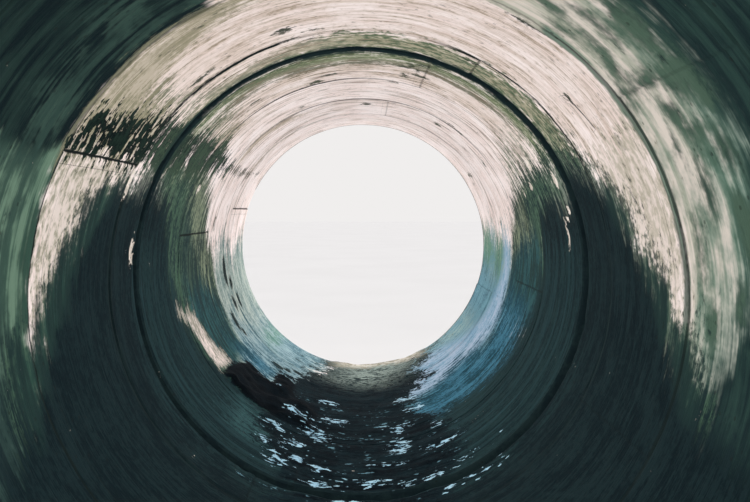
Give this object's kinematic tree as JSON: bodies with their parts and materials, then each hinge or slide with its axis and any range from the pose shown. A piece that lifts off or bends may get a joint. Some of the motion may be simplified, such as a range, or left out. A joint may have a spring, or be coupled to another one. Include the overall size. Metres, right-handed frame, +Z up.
{
  "type": "concrete culvert pipe",
  "caption": "Round concrete drain pipe length with a straight bore, an in-wall tongue and groove joint at its ends, and a recess round the bore.",
  "frame": {"origin": "centre of the bounding box's bottom face, under the middle of the pipe's length", "axes": "+Y along the pipe from its groove end to its tongue end, +X to the right when looking from the groove end, +Z up"},
  "size_m": [1.2398, 3.084, 1.2398],
  "materials": {
    "concrete": "weathered cast concrete, pale above and dark with algae and damp below"
  },
  "bodies": {
    "root": {"culvert_pipe": "concrete"}
  },
  "joints": []
}
